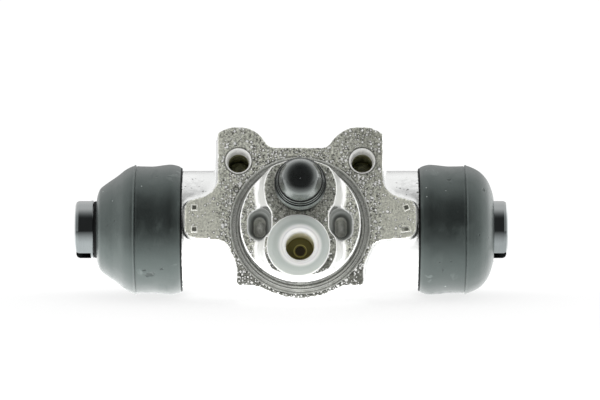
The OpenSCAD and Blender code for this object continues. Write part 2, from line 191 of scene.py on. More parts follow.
# ---- node helpers ----------------------------------------------------------
class Nodes:
    """Short forms for building a node tree."""

    def __init__(self, tree):
        self.t = tree

    def add(self, kind, props=None, **inputs):
        n = self.t.nodes.new(kind)
        for k, v in (props or {}).items():
            setattr(n, k, v)
        for k, v in inputs.items():
            self.put(n.inputs[k.replace("_", " ")], v)
        return n

    def put(self, socket, v):
        if isinstance(v, bpy.types.NodeSocket):
            self.t.links.new(v, socket)
        else:
            socket.default_value = v

    def math(self, op, a, b=None, clamp=False):
        n = self.t.nodes.new("ShaderNodeMath")
        n.operation, n.use_clamp = op, clamp
        self.put(n.inputs[0], a)
        if b is not None:
            self.put(n.inputs[1], b)
        return n.outputs[0]

    def ramp(self, x, a, b, lo=0.0, hi=1.0, kind="SMOOTHSTEP"):
        n = self.t.nodes.new("ShaderNodeMapRange")
        n.interpolation_type = kind
        for k, v in zip((0, 1, 2, 3, 4), (x, a, b, lo, hi)):
            self.put(n.inputs[k], v)
        return n.outputs[0]

    def mix(self, f, a, b, blend="MIX"):
        n = self.t.nodes.new("ShaderNodeMix")
        n.data_type, n.blend_type = "RGBA", blend
        self.put(n.inputs[0], f)
        self.put(n.inputs[6], a if isinstance(a, bpy.types.NodeSocket) else (*a, 1))
        self.put(n.inputs[7], b if isinstance(b, bpy.types.NodeSocket) else (*b, 1))
        return n.outputs[2]

    def noise(self, co, scale, detail=2.0, rough=0.55, warp=0.0):
        n = self.add("ShaderNodeTexNoise", Vector=co, Scale=scale, Detail=detail, Roughness=rough, Distortion=warp)
        return n.outputs["Fac"]

    def voronoi(self, co, scale, randomness=1.0, feature="F1"):
        return self.add("ShaderNodeTexVoronoi", {"feature": feature}, Vector=co, Scale=scale, Randomness=randomness)

    def flat_voronoi(self, co, scale):
        return self.add("ShaderNodeTexVoronoi", {"feature": "F1", "voronoi_dimensions": "2D"}, Vector=co, Scale=scale)

    def object_co(self):
        return self.t.nodes.new("ShaderNodeTexCoord").outputs["Object"]

    def xyz(self, co):
        return self.add("ShaderNodeSeparateXYZ", Vector=co).outputs

    def vector(self, x, y, z):
        n = self.t.nodes.new("ShaderNodeCombineXYZ")
        for k, v in enumerate((x, y, z)):
            self.put(n.inputs[k], v)
        return n.outputs[0]

    def times(self, *v):
        out = v[0]
        for w in v[1:]:
            out = self.math("MULTIPLY", out, w)
        return out

    def plus(self, *v):
        out = v[0]
        for w in v[1:]:
            out = self.math("ADD", out, w)
        return out

    def band(self, x, a, b, soft):
        """1 between a and b."""
        return self.times(self.ramp(x, a - soft, a + soft), self.ramp(x, b + soft, b - soft))

    def parts(self, colour):
        return self.add("ShaderNodeSeparateColor", Color=colour).outputs

    def spot(self, co, centre, size):
        """Distance from a point, in units of the given half sizes."""
        for op, v in (("SUBTRACT", centre), ("DIVIDE", size)):
            n = self.add("ShaderNodeVectorMath", {"operation": op})
            self.put(n.inputs[0], co)
            n.inputs[1].default_value = v
            co = n.outputs[0]
        n = self.add("ShaderNodeVectorMath", {"operation": "LENGTH"})
        self.put(n.inputs[0], co)
        return n.outputs["Value"]

    def shaken(self, co, scale, amount):
        """The point, moved about by noise."""
        t = self.add("ShaderNodeTexNoise", Vector=co, Scale=scale, Detail=2.0)
        for op, a, b in (("SUBTRACT", t.outputs["Color"], (0.5, 0.5, 0.5)), ("MULTIPLY", None, (amount, amount, amount)), ("ADD", None, co)):
            n = self.add("ShaderNodeVectorMath", {"operation": op})
            self.put(n.inputs[0], a if a is not None else last)
            self.put(n.inputs[1], b)
            last = n.outputs[0]
        return last

    def bump(self, height, distance, strength=1.0, normal=None):
        n = self.add("ShaderNodeBump", Height=height, Distance=distance, Strength=strength)
        if normal is not None:
            self.put(n.inputs["Normal"], normal)
        return n.outputs[0]


def material(name, **sockets):
    m = bpy.data.materials.new(name)
    m.use_nodes = True
    b = m.node_tree.nodes["Principled BSDF"]
    for k, v in sockets.items():
        b.inputs[k.replace("_", " ")].default_value = v
    return m, Nodes(m.node_tree), b.inputs


# ---- materials -------------------------------------------------------------
def cast_metal():
    """Blasted aluminium: beads and pits on the faces, smoother on the tabs, the walls and the barrel; painted glints
    and shadow on the beads, painted light on the sloping walls, painted light and shade in the pockets and a painted
    shadow beside the tab ends.
    """
    m, n, b = material("cast_aluminium_blasted")
    co = n.object_co()
    x, y, z = n.xyz(co)
    ax = n.math("ABSOLUTE", x)
    ny = n.xyz(n.add("ShaderNodeNewGeometry").outputs["Normal"])[1]
    flat = n.ramp(ny, -0.72, -0.93)
    upright = n.times(ny, -1.0)
    front = n.ramp(y, 0.0014, 0.0009)
    face = n.times(flat, front)
    wall = n.times(front, n.math("SUBTRACT", 1.0, flat))
    top = n.ramp(y, -0.0076, -0.0081)
    patch = n.noise(co, 230, 2.0)
    tab = n.ramp(n.plus(ax, n.times(patch, 0.004)), 0.0200, 0.0230)
    plain = n.ramp(tab, 0, 1, 1.0, 0.48)

    # beads of metal, in some cells only, each painted near-white as a glint, with a painted shadow round it
    plane = n.shaken(n.vector(x, z, n.times(ax, 0.0)), 1700, 0.00050)

    def beads(scale, lo, hi, share):
        v = n.flat_voronoi(plane, scale)
        c = n.parts(v.outputs["Color"])
        gap = n.math("SUBTRACT", v.outputs["Distance"], n.ramp(c[2], 0, 1, lo, hi, "LINEAR"))
        pick = n.times(n.ramp(n.math("SUBTRACT", share, c[0]), 0.0, 0.04), face)
        return n.times(n.ramp(gap, 0.06, -0.04), pick), n.times(n.ramp(gap, 0.26, 0.08), pick)

    rho = n.math("SQRT", n.plus(n.times(x, x), n.times(z, z)))
    beside = n.times(n.ramp(rho, 0.0166, 0.0172), n.ramp(rho, 0.0205, 0.0180))
    many = n.times(n.plus(-0.10, n.times(n.ramp(z, -0.005, -0.012), 0.20), n.times(beside, 0.20), n.times(patch, 0.70)), plain, n.ramp(top, 0, 1, 1.0, 0.45))
    big, ring = beads(1000, 0.15, 0.34, many)
    small, edge = beads(1650, 0.19, 0.36, n.times(many, 0.9))
    bead, bead_shadow = n.math("MAXIMUM", big, small), n.math("MAXIMUM", ring, n.times(edge, 0.8))
    w = n.flat_voronoi(plane, 1350)
    wc = n.parts(w.outputs["Color"])
    pit = n.times(n.ramp(w.outputs["Distance"], 0.40, 0.20), n.ramp(n.plus(wc[0], n.times(beside, 0.18)), 0.80, 0.86), face, plain)
    worm = n.times(n.ramp(n.math("ABSOLUTE", n.plus(n.noise(co, 1050, 2.0, 0.6), -0.5)), 0.022, 0.0), n.ramp(n.noise(co, 520, 2.0), 0.48, 0.58), face, plain)
    fine = n.noise(co, 1750, 4.0, 0.75)
    lump = n.noise(co, 900, 3.0, 0.6)
    stain = n.noise(co, 210, 4.0, 0.62, 0.5)
    grit = n.times(n.ramp(fine, 0.60, 0.40), face, plain)
    base = n.mix(stain, (0.62, 0.625, 0.54), (0.78, 0.79, 0.69))
    base = n.mix(n.times(tab, 0.85), base, (0.83, 0.835, 0.725))
    base = n.mix(n.times(n.ramp(x, 0.008, 0.016), n.ramp(z, 0.006, 0.012), 0.45), base, (0.28, 0.285, 0.235))
    base = n.mix(n.times(top, 0.75), base, (0.40, 0.41, 0.36))
    base = n.mix(n.times(n.ramp(z, -0.006, -0.0125), 0.95), base, (0.19, 0.193, 0.168))
    base = n.mix(n.times(grit, 0.82), base, (0.095, 0.098, 0.084))
    # painted shadow round each bead
    base = n.mix(n.times(bead_shadow, 0.85), base, (0.085, 0.087, 0.075))
    base = n.mix(n.times(worm, 0.7), base, (0.97, 0.97, 0.93))
    base = n.mix(n.times(n.band(rho, 0.01704, 0.01728, 0.00007), face, n.ramp(patch, 0.35, 0.6, 0.35, 0.9)), base, (0.05, 0.052, 0.045))
    base = n.mix(n.times(pit, 0.85), base, (0.05, 0.052, 0.045))
    # beads painted near-white: painted glints
    base = n.mix(bead, base, (0.98, 0.98, 0.96))
    # walls near the front: grey with random tone where steep, painted near-white where they slope toward the front, as
    # painted light on fillets and rounded edges
    base = n.mix(n.times(wall, 0.92), base, n.mix(n.ramp(upright, 0.10, 0.24), n.mix(stain, (0.40, 0.404, 0.40), (0.56, 0.565, 0.56)), (0.86, 0.865, 0.855)))
    base = n.mix(n.math("SUBTRACT", 1.0, front), base, n.mix(stain, (0.53, 0.535, 0.53), (0.63, 0.635, 0.63)))
    base = n.mix(n.times(n.ramp(y, 0.015, 0.021), n.ramp(lump, 0.3, 0.7, 0.75, 1.0)), base, n.mix(stain, (0.34, 0.344, 0.34), (0.50, 0.505, 0.50)))
    # stray pits and scuffs on the barrel, most of them above the tabs
    q = n.voronoi(n.shaken(co, 1300, 0.0009), 1150)
    qc = n.parts(q.outputs["Color"])
    near = n.ramp(n.spot(n.vector(ax, y, z), (0.0262, 0.0037, 0.0101), (0.0036, 0.006, 0.0042)), 1.2, 0.5)
    near = n.plus(near, n.times(n.ramp(n.noise(co, 150, 3.0, 0.6), 0.57, 0.70), 0.6))
    chip = n.times(n.ramp(q.outputs["Distance"], 0.34, 0.18), n.ramp(qc[0], 0.62, 0.74), near, n.ramp(y, 0.0016, 0.0026))
    base = n.mix(n.times(n.ramp(near, 0.2, 1.0), n.ramp(lump, 0.35, 0.65), n.ramp(y, 0.0016, 0.0026), 0.35), base, (0.36, 0.363, 0.36))
    base = n.mix(n.times(chip, 0.9), base, (0.07, 0.073, 0.07))
    # painted shade and light in the pockets and a painted shadow beside the tab ends; darker marks round the holes, in
    # the staking marks and at one blister
    dx = n.math("SUBTRACT", ax, 0.0098)
    dz = n.math("MAXIMUM", n.math("SUBTRACT", n.math("ABSOLUTE", n.plus(z, 0.00065)), 0.00105), 0.0)
    pr = n.math("SQRT", n.plus(n.times(dx, dx), n.times(dz, dz)))
    shallow = n.ramp(y, 0.0030, 0.0022)
    inside = n.times(n.ramp(pr, 0.00285, 0.0025), n.ramp(y, -0.0031, -0.0026), shallow)
    above = n.times(n.ramp(pr, 0.0031, 0.0027), n.ramp(y, -0.0080, -0.0068), shallow)
    pocket_bright_line = n.times(n.band(pr, 0.00270, 0.00305, 0.00008), n.band(y, -0.0034, -0.0024, 0.0002))
    # pockets: painted shade on the walls; deeper in, painted light on a near-white floor inside a dark painted ring,
    # darker on the lower side; a bright painted line round the wall
    base = n.mix(n.times(above, 0.8), base, (0.38, 0.40, 0.38))
    base = n.mix(n.times(inside, 0.9), base, n.mix(n.times(n.ramp(pr, 0.00155, 0.0013), n.ramp(lump, 0.3, 0.7, 0.7, 1.0)), n.mix(n.ramp(pr, 0.0017, 0.0023), (0.11, 0.118, 0.11), n.mix(n.ramp(z, -0.0032, 0.0018), (0.19, 0.20, 0.19), (0.44, 0.46, 0.44))), (0.97, 0.975, 0.90)))
    base = n.mix(n.times(pocket_bright_line, 0.9), base, (0.95, 0.955, 0.94))
    # painted shadow on the barrel just beside each tab's end, broken up by noise
    end = n.times(n.band(ax, 0.0281, 0.0286, 0.0001), n.ramp(n.math("ABSOLUTE", n.plus(z, -0.0016)), 0.0054, 0.0040), n.band(y, 0.0016, 0.0095, 0.0004))
    base = n.mix(n.times(end, n.ramp(n.noise(co, 1500, 2.0, 0.6), 0.42, 0.56, 0.15, 0.95)), base, (0.20, 0.203, 0.195))
    hx, hz = n.plus(ax, -0.0150), n.plus(z, -0.0160)
    hr = n.math("SQRT", n.plus(n.times(hx, hx), n.times(hz, hz)))
    base = n.mix(n.times(n.band(hr, 0.0031, 0.0035, 0.00008), face, 0.75), base, (0.11, 0.113, 0.10))
    sq = n.math("MAXIMUM", n.math("ABSOLUTE", n.plus(ax, -0.0256)), n.math("MINIMUM", n.math("ABSOLUTE", n.plus(z, 0.0010)), n.math("ABSOLUTE", n.plus(z, -0.0044))))
    base = n.mix(n.times(n.ramp(sq, 0.00052, 0.0004), n.ramp(y, 0.0010, 0.0006)), base, (0.34, 0.345, 0.30))
    bl = n.spot(n.shaken(co, 900, 0.0005), (-0.0155, 0.0, 0.0089), (0.0008, 0.003, 0.0008))
    base = n.mix(n.times(n.plus(n.band(bl, 0.6, 1.0, 0.1), n.ramp(bl, 0.7, 0.3, 0.0, 0.4)), 0.9), base, (0.07, 0.072, 0.062))
    n.put(b["Base Color"], base)
    n.put(b["Metallic"], n.math("SUBTRACT", 1.0, n.plus(n.times(face, n.plus(0.32, n.times(bead, 0.58), n.times(tab, 0.12), n.times(inside, 0.5), n.times(pocket_bright_line, 0.5))), n.times(wall, n.ramp(upright, 0.02, 0.22, 0.15, 0.55)), n.times(inside, wall, 0.35))))
    n.put(b["Roughness"], n.plus(n.times(face, n.ramp(lump, 0.3, 0.75, 0.08, 0.24)), 0.25))
    h = n.plus(n.times(bead, 1.0), n.times(pit, -0.6), n.times(fine, 0.7), n.times(lump, 0.5))
    n.put(b["Normal"], n.bump(h, 0.00045, n.plus(n.times(face, plain, 0.9), n.ramp(y, 0.006, 0.014, 0.10, 0.30))))
    return m


def machined_metal():
    """Turned aluminium: rings round the spigot's axis, painted shade in the grooves and painted highlights along the
    edges.
    """
    m, n, b = material("cast_aluminium_machined", Metallic=0.6)
    co = n.object_co()
    x, y, z = n.xyz(co)
    r = n.math("SQRT", n.plus(n.times(x, x), n.times(z, z)))
    rings = n.noise(n.vector(r, 0.0, y), 6500, 2.0, 0.6)
    blot = n.noise(co, 420, 4.0, 0.65)
    n.put(b["Normal"], n.bump(n.plus(rings, n.times(blot, 0.5)), 0.00010, 0.8))
    base = n.mix(rings, (0.42, 0.426, 0.40), (0.72, 0.73, 0.69))
    base = n.mix(n.ramp(blot, 0.45, 0.7, 0.0, 0.8), base, (0.34, 0.343, 0.315))
    # painted shade in the grooves, stronger on the lower side
    low = n.ramp(z, -0.003, -0.011, 0.3, 1.0)
    groove_shade = n.plus(n.band(r, 0.01478, 0.01496, 0.00004), n.times(n.plus(n.band(r, 0.01544, 0.01560, 0.00004), n.times(n.band(r, 0.01636, 0.01652, 0.00004), 0.9)), low))
    base = n.mix(n.times(groove_shade, n.ramp(blot, 0.3, 0.6, 0.95, 0.6)), base, (0.07, 0.072, 0.065))
    # painted highlights on the outer chamfer and beside the grooves, more on the lower side
    base = n.mix(n.times(n.plus(n.band(r, 0.01678, 0.01706, 0.00004), n.times(n.plus(n.band(r, 0.01566, 0.01580, 0.00004), n.band(r, 0.01504, 0.01518, 0.00004)), low, 0.7)), 0.85), base, (0.96, 0.965, 0.94))
    # the spigot's turned front edge painted near-white: painted highlight
    base = n.mix(n.times(n.ramp(r, 0.01474, 0.01466), n.ramp(y, -0.0022, -0.0025)), base, (0.96, 0.965, 0.95))
    n.put(b["Base Color"], base)
    n.put(b["Roughness"], n.ramp(blot, 0.3, 0.7, 0.22, 0.36))
    return m


def drilled_metal():
    """Bright metal in the drilled and tapped holes; the mounting holes' entry painted near-white as painted light, and
    painted olive shade deeper down them.
    """
    m, n, b = material("cast_aluminium_drilled")
    co = n.object_co()
    x, y, z = n.xyz(co)
    lines = n.noise(n.vector(n.times(x, 0.12), y, n.times(z, 0.12)), 5200, 2.0, 0.6)
    blot = n.noise(co, 700, 3.0, 0.6)
    n.put(b["Normal"], n.bump(lines, 0.00005, 0.5))
    base = n.mix(blot, (0.72, 0.72, 0.69), (0.90, 0.90, 0.88))
    tapped = n.ramp(z, 0.0122, 0.0128)
    deep = n.times(tapped, n.ramp(y, 0.0034, 0.0039))
    # the tapped entry painted near-white, with little metal: painted light
    base = n.mix(tapped, base, (0.97, 0.97, 0.95))
    n.put(b["Metallic"], n.math("SUBTRACT", 1.0, n.times(tapped, n.ramp(deep, 0, 1, 0.85, 0.6))))
    # deeper in the mounting holes: painted olive shade
    n.put(b["Base Color"], n.mix(deep, base, n.mix(blot, (0.22, 0.22, 0.12), (0.60, 0.60, 0.38))))
    n.put(b["Roughness"], n.ramp(lines, 0.3, 0.7, 0.18, 0.32))
    return m


MARKS = (   # along the bore and degrees up from the front, half sizes of each, and how light
    (-30.6, 44.0, 1.6, 2.4, 0.9), (-29.9, 52.0, 0.9, 3.0, 1.0), (-31.3, 38.0, 0.6, 2.6, 0.7), (-38.9, -54.0, 1.0, 4.0, 0.6),
    (-30.4, -47.0, 0.8, 1.6, 0.5), (-44.0, 14.0, 1.6, 10.0, 0.12), (-34.0, -22.0, 2.2, 6.0, 0.10), (-35.2, 36.0, 2.6, 6.0, 0.12),
    (32.4, 50.0, 2.6, 6.0, 0.55), (36.9, 36.0, 0.5, 1.4, 0.8), (31.0, -58.0, 1.2, 1.0, 0.6), (37.4, -60.0, 1.1, 4.0, 0.45),
    (33.5, -40.0, 2.4, 9.0, 0.12), (31.6, -64.0, 0.4, 3.0, 0.6))
STREAKS = ((-36.8, -58.0, 1.2, 3.2), (-37.7, -51.0, 0.4, 1.4), (-33.6, -50.0, 0.45, 1.6), (-46.9, -9.0, 0.35, 1.6), (-44.9, -2.0, 0.25, 1.0),
           (36.3, 38.5, 0.5, 1.2), (44.8, 33.0, 0.35, 1.6), (34.7, -51.0, 0.25, 2.2))


def boot_rubber():
    """Moulded rubber with dust, smears, rubbed patches and white specks."""
    m, n, b = material("boot_rubber", Specular_IOR_Level=0.85, Specular_Tint=(0.84, 1.0, 0.96, 1.0))
    co = n.object_co()
    x, y, z = n.xyz(co)
    grain = n.noise(co, 3400, 3.0, 0.65)
    cloud = n.noise(co, 130, 4.0, 0.6, 0.6)
    smear = n.noise(n.vector(x, n.times(y, 0.45), n.times(z, 0.45)), 420, 3.0, 0.6, 0.8)
    v = n.voronoi(co, 420)
    c = n.parts(v.outputs["Color"])
    speck = n.times(n.ramp(v.outputs["Distance"], 0.085, 0.05), n.ramp(c[0], 0.76, 0.80))
    pit = n.times(n.ramp(v.outputs["Distance"], 0.13, 0.07), n.ramp(c[1], 0.90, 0.91))
    dust = n.times(n.ramp(cloud, 0.45, 0.75), n.ramp(smear, 0.35, 0.7))
    # place along the bore and round it, shaken so that no mark has a clean outline
    round_it = n.times(n.math("ARCTAN2", n.plus(z, -BORE_Z * MM), n.math("SUBTRACT", BORE_Y * MM, y)), 180 / math.pi * 0.00027)
    at = n.shaken(n.shaken(n.vector(x, round_it, 0.0), 330, 0.0032), 1200, 0.0010)
    rubbed, dark = 0.0, 0.0
    for px, a, sx, sa, f in MARKS:
        rubbed = n.math("MAXIMUM", n.ramp(n.spot(at, (px * MM, a * 0.00027, 0), (sx * MM, sa * 0.00027, 1)), 1.2, 0.3, 0.0, f), rubbed)
    for px, a, sx, sa in STREAKS:
        dark = n.math("MAXIMUM", n.ramp(n.spot(at, (px * MM, a * 0.00027, 0), (sx * MM, sa * 0.00027, 1)), 1.1, 0.5), dark)
    base = n.mix(cloud, (0.0075, 0.0092, 0.0088), (0.013, 0.0155, 0.0148))
    base = n.mix(n.times(dust, 0.5), base, (0.050, 0.060, 0.057))
    base = n.mix(n.times(rubbed, n.ramp(smear, 0.38, 0.58), 0.7), base, (0.12, 0.135, 0.13))
    base = n.mix(n.math("MAXIMUM", pit, dark), base, (0.003, 0.003, 0.003))
    base = n.mix(speck, base, (0.34, 0.37, 0.36))
    n.put(b["Base Color"], base)
    n.put(b["Roughness"], n.ramp(n.plus(grain, dust, n.times(dark, 0.6)), 0.3, 1.4, 0.36, 0.60))
    h = n.plus(n.times(grain, 0.3), n.times(smear, 0.6), n.times(speck, 0.3), n.times(pit, -1.0), n.times(dark, -2.5), n.times(rubbed, 0.6))
    n.put(b["Normal"], n.bump(h, 0.00012, 0.6))
    return m


def shaded_rubber(name, colour, rough):
    """Dull, darker rubber put on edges and folds that see little light: painted shade."""
    m, n, b = material(name, Specular_IOR_Level=0.12)
    g = n.noise(n.object_co(), 2400, 3.0, 0.6)
    n.put(b["Base Color"], n.mix(g, tuple(0.6 * v for v in colour), colour))
    n.put(b["Roughness"], n.ramp(g, 0.3, 0.7, rough - 0.1, rough + 0.1))
    n.put(b["Normal"], n.bump(g, 0.00004, 0.5))
    return m


def piston_metal():
    """Turned and darkened steel, with fine rings along the bore axis and its upper side painted lighter as painted
    light.
    """
    m, n, b = material("piston_metal", Metallic=1.0)
    co = n.object_co()
    x, y, z = n.xyz(co)
    rings = n.noise(n.vector(x, n.math("MULTIPLY", y, 0.03), n.math("MULTIPLY", z, 0.03)), 7000, 3.0, 0.6)
    blot = n.noise(co, 300, 4.0, 0.6)
    base = n.mix(n.times(n.plus(rings, blot), 0.5), (0.10, 0.112, 0.113), (0.17, 0.184, 0.186))
    # upper side painted lighter: painted light
    n.put(b["Base Color"], n.mix(n.ramp(z, (BORE_Z + 1.5) * MM, (BORE_Z + 4) * MM, 0.0, 0.8), base, (0.25, 0.26, 0.26)))
    n.put(b["Roughness"], n.ramp(blot, 0.3, 0.7, 0.06, 0.12))
    n.put(b["Normal"], n.bump(rings, 0.00003, 0.5))
    return m


def cup_rubber():
    m, n, b = material("cup_rubber", Roughness=0.4)
    co = n.object_co()
    g = n.noise(co, 2600, 3.0, 0.6)
    n.put(b["Base Color"], n.mix(g, (0.016, 0.016, 0.017), (0.034, 0.034, 0.036)))
    n.put(b["Normal"], n.bump(g, 0.00005, 0.5))
    return m


def cap_rubber():
    """Smooth black rubber with a soft gloss, some dust, and painted grey-green light on its lower side."""
    m, n, b = material("cap_rubber", Specular_IOR_Level=0.62, Specular_Tint=(0.92, 1.0, 0.97, 1.0), Coat_Weight=0.5, Coat_Roughness=0.16, Coat_IOR=1.55, Coat_Tint=(0.94, 1.0, 0.97, 1.0))
    co = n.object_co()
    g = n.noise(co, 4200, 3.0, 0.6)
    cloud = n.noise(co, 420, 4.0, 0.6, 0.5)
    v = n.voronoi(co, 900)
    speck = n.math("MULTIPLY", n.ramp(v.outputs["Distance"], 0.10, 0.06),
                   n.ramp(n.add("ShaderNodeSeparateColor", Color=v.outputs["Color"]).outputs[0], 0.86, 0.88))
    base = n.mix(cloud, (0.0015, 0.0017, 0.0017), (0.004, 0.0044, 0.0044))
    x, y, z = n.xyz(co)
    # lower side painted grey-green along its rings: painted light
    base = n.mix(n.times(n.ramp(z, (PORT_Z - 1) * MM, (PORT_Z - 4.5) * MM), n.band(y, -0.0209, -0.0125, 0.0006), n.ramp(cloud, 0.3, 0.7, 0.7, 1.0)), base, (0.10, 0.112, 0.105))
    n.put(b["Base Color"], n.mix(n.times(speck, 0.8), base, (0.4, 0.42, 0.43)))
    n.put(b["Roughness"], n.ramp(n.math("ADD", cloud, n.math("MULTIPLY", g, 0.4)), 0.4, 1.0, 0.20, 0.34))
    # the foot's rim is dull, but for its underside
    dull = n.times(n.ramp(y, -0.0149, -0.0147), n.ramp(z, (PORT_Z - 5) * MM, (PORT_Z - 2) * MM))
    n.put(b["Coat Weight"], n.ramp(dull, 0.0, 1.0, 0.5, 0.0))
    n.put(b["Specular IOR Level"], n.ramp(dull, 0.0, 1.0, 0.62, 0.12))
    n.put(b["Normal"], n.bump(g, 0.00004, 0.5))
    return m


def plug_plastic():
    """Milky polythene: white at the flange, with a painted highlight round the hole and along the upper rim, and olive
    down the hollow where little light comes back.
    """
    m, n, b = material("plug_plastic", IOR=1.51, Subsurface_Weight=0.35, Subsurface_Radius=(0.002, 0.0019, 0.0016), Subsurface_Scale=0.6)
    co = n.object_co()
    x, y, z = n.xyz(co)
    cloud = n.noise(co, 300, 3.0, 0.6)
    fine = n.noise(co, 3000, 2.0, 0.6)
    deep = n.ramp(y, -0.0090, -0.0062)
    floor = n.ramp(y, -0.0042, -0.0032)
    dz = n.math("ADD", z, PORT_Z * MM)
    r = n.math("SQRT", n.math("ADD", n.math("MULTIPLY", x, x), n.math("MULTIPLY", dz, dz)))
    hole = n.ramp(r, 0.00395, 0.0037)
    gate = n.math("MULTIPLY", floor, n.math("MULTIPLY", n.ramp(r, 0.00132, 0.0014), n.ramp(r, 0.00168, 0.0016)))
    centre = n.math("MULTIPLY", floor, n.ramp(r, 0.0012, 0.0011))
    ex, ez = n.plus(x, 0.00045), n.plus(z, (PORT_Z - 0.1) * MM)
    er = n.math("SQRT", n.plus(n.times(ex, ex), n.times(ez, ez)))
    base = n.mix(cloud, (0.60, 0.64, 0.61), (0.68, 0.72, 0.69))
    base = n.mix(n.times(n.band(er, 0.0051, 0.0062, 0.0005), 0.7), base, (0.50, 0.55, 0.515))
    # near-white ring round the hole: painted highlight
    base = n.mix(n.ramp(r, 0.0055, 0.0046), base, (0.98, 0.98, 0.955))
    base = n.mix(n.times(n.band(r, 0.00425, 0.00455, 0.0001), 0.35), base, (0.62, 0.63, 0.64))
    # rim painted near-white on its upper side and greyer below: painted highlight
    base = n.mix(n.ramp(er, 0.00725, 0.00745), base, n.mix(n.ramp(z, (2 - PORT_Z) * MM, (5 - PORT_Z) * MM), (0.70, 0.71, 0.69), (0.98, 0.98, 0.96)))
    base = n.mix(n.math("MULTIPLY", deep, hole), base, n.mix(n.ramp(z, (0.6 - PORT_Z) * MM, (2.2 - PORT_Z) * MM), (0.47, 0.44, 0.22), (0.86, 0.82, 0.56)))
    base = n.mix(n.math("MULTIPLY", floor, hole), base, (0.22, 0.195, 0.055))
    base = n.mix(gate, base, (0.66, 0.60, 0.22))
    base = n.mix(centre, base, (0.06, 0.045, 0.02))
    n.put(b["Base Color"], base)
    n.put(b["Roughness"], n.ramp(fine, 0.3, 0.7, 0.28, 0.42))
    n.put(b["Normal"], n.bump(n.math("ADD", fine, n.math("MULTIPLY", cloud, 2.0)), 0.00004, 0.5))
    return m


def plated_steel():
    """Yellow-passivated steel of the bleed screw."""
    m, n, b = material("bleeder_steel", Metallic=1.0)
    co = n.object_co()
    x, y, z = n.xyz(co)
    rings = n.noise(n.vector(n.math("MULTIPLY", x, 0.05), y, n.math("MULTIPLY", z, 0.05)), 6000, 2.0, 0.6)
    tint = n.noise(co, 380, 3.0, 0.6)
    n.put(b["Base Color"], n.mix(tint, (0.62, 0.56, 0.38), (0.74, 0.71, 0.62)))
    n.put(b["Roughness"], n.ramp(tint, 0.3, 0.7, 0.24, 0.4))
    n.put(b["Normal"], n.bump(rings, 0.00008, 0.6))
    return m


def seat_brass():
    m, n, b = material("seat_brass", Metallic=1.0)
    co = n.object_co()
    x, y, z = n.xyz(co)
    rings = n.noise(n.vector(n.math("MULTIPLY", x, 0.05), y, n.math("MULTIPLY", z, 0.05)), 6000, 2.0, 0.6)
    tint = n.noise(co, 500, 3.0, 0.6)
    n.put(b["Base Color"], n.mix(tint, (0.60, 0.42, 0.16), (0.76, 0.58, 0.26)))
    n.put(b["Roughness"], n.ramp(tint, 0.3, 0.7, 0.22, 0.38))
    n.put(b["Normal"], n.bump(rings, 0.00006, 0.6))
    return m


def spring_steel():
    m, n, b = material("spring_steel", Metallic=1.0)
    co = n.object_co()
    tint = n.noise(co, 900, 3.0, 0.6)
    fine = n.noise(co, 5000, 2.0, 0.6)
    n.put(b["Base Color"], n.mix(tint, (0.42, 0.42, 0.44), (0.60, 0.60, 0.62)))
    n.put(b["Roughness"], n.ramp(fine, 0.3, 0.7, 0.24, 0.4))
    n.put(b["Normal"], n.bump(fine, 0.00003, 0.5))
    return m


M_CAST, M_TURNED, M_DRILLED = cast_metal(), machined_metal(), drilled_metal()
M_BOOT, M_PISTON, M_CUP, M_CAP = boot_rubber(), piston_metal(), cup_rubber(), cap_rubber()
# dull, darker rubbers that paint shade: on the boots' edges and collars, and on the cap's foot and grooves
M_LIP_SHADE, M_CAP_FOOT_SHADE = shaded_rubber("boot_rubber_edge_painted_shade", (0.006, 0.007, 0.007), 0.7), shaded_rubber("cap_rubber_foot_painted_shade", (0.003, 0.0033, 0.0033), 0.5)
M_PLUG, M_BLEEDER, M_BRASS, M_SPRING = plug_plastic(), plated_steel(), seat_brass(), spring_steel()

for name, m in {"left_piston": M_PISTON, "right_piston": M_PISTON, "left_piston_cup": M_CUP, "right_piston_cup": M_CUP,
                "bleeder_screw": M_BLEEDER, "bleeder_cap": M_CAP, "inlet_seat": M_BRASS, "inlet_plug": M_PLUG,
                "cylinder_body": M_CAST, "left_boot": M_BOOT, "right_boot": M_BOOT, "return_spring": M_SPRING}.items():
    me = nodes[name].data
    me.materials.clear()
    me.materials.append(m)


def build_cap():
    """Dust cap with a soft round end over two rings; its foot and the grooves are dull, in the darker rubber that
    paints their shade.
    """
    foot = [(4.75, 0), (5.6, 0), (5.75, 0.2), (5.98, 2.2), (6.12, 3.4), (6.24, 3.8), (6.24, 5.2), (6.23, 5.7), (6.14, 6.1), (5.9, 6.28), (5.46, 6.34), (5.4, 6.5), (5.44, 6.68)]
    rings = smooth_path([(5.66, 6.74), (5.76, 6.98), (5.66, 7.26)], 4) + [(5.3, 7.38), (5.24, 7.52), (5.28, 7.68)] + smooth_path([(5.46, 7.74), (5.52, 8), (5.4, 8.3)], 4) + [(5.02, 8.44), (4.96, 8.6), (5, 8.76)]
    end = smooth_path([(5.12, 8.9), (5.06, 9.4), (4.88, 10), (4.64, 10.7), (4.34, 11.55), (4.07, 12.1), (3.72, 12.58), (3.3, 12.96), (2.7, 13.2), (1.9, 13.37), (1, 13.47), (0, 13.5)], 4)
    inner = [(0, 12.2), (2.6, 12.2), (3.35, 11), (3.35, 5.7), (4.75, 5.3)]
    v, f = turned_y([(r, -8.52 - h) for r, h in foot + rings + end + inner], 0, PORT_Z, 120)
    o = new_object("bleeder_cap_skin", v * MM, f, [M_CAP, M_CAP_FOOT_SHADE])
    for q in o.data.polygons:
        h = -q.center.y / MM - 8.52
        # the foot and the grooves get the dull, darker rubber: painted shade
        q.material_index = 1 if h < 3.5 or 6.28 < h < 6.71 or 7.32 < h < 7.71 or 8.36 < h < 8.83 else 0
    o.data.set_sharp_from_angle(angle=math.radians(50))
    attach(o, "cap")
    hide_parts("bleeder_cap")



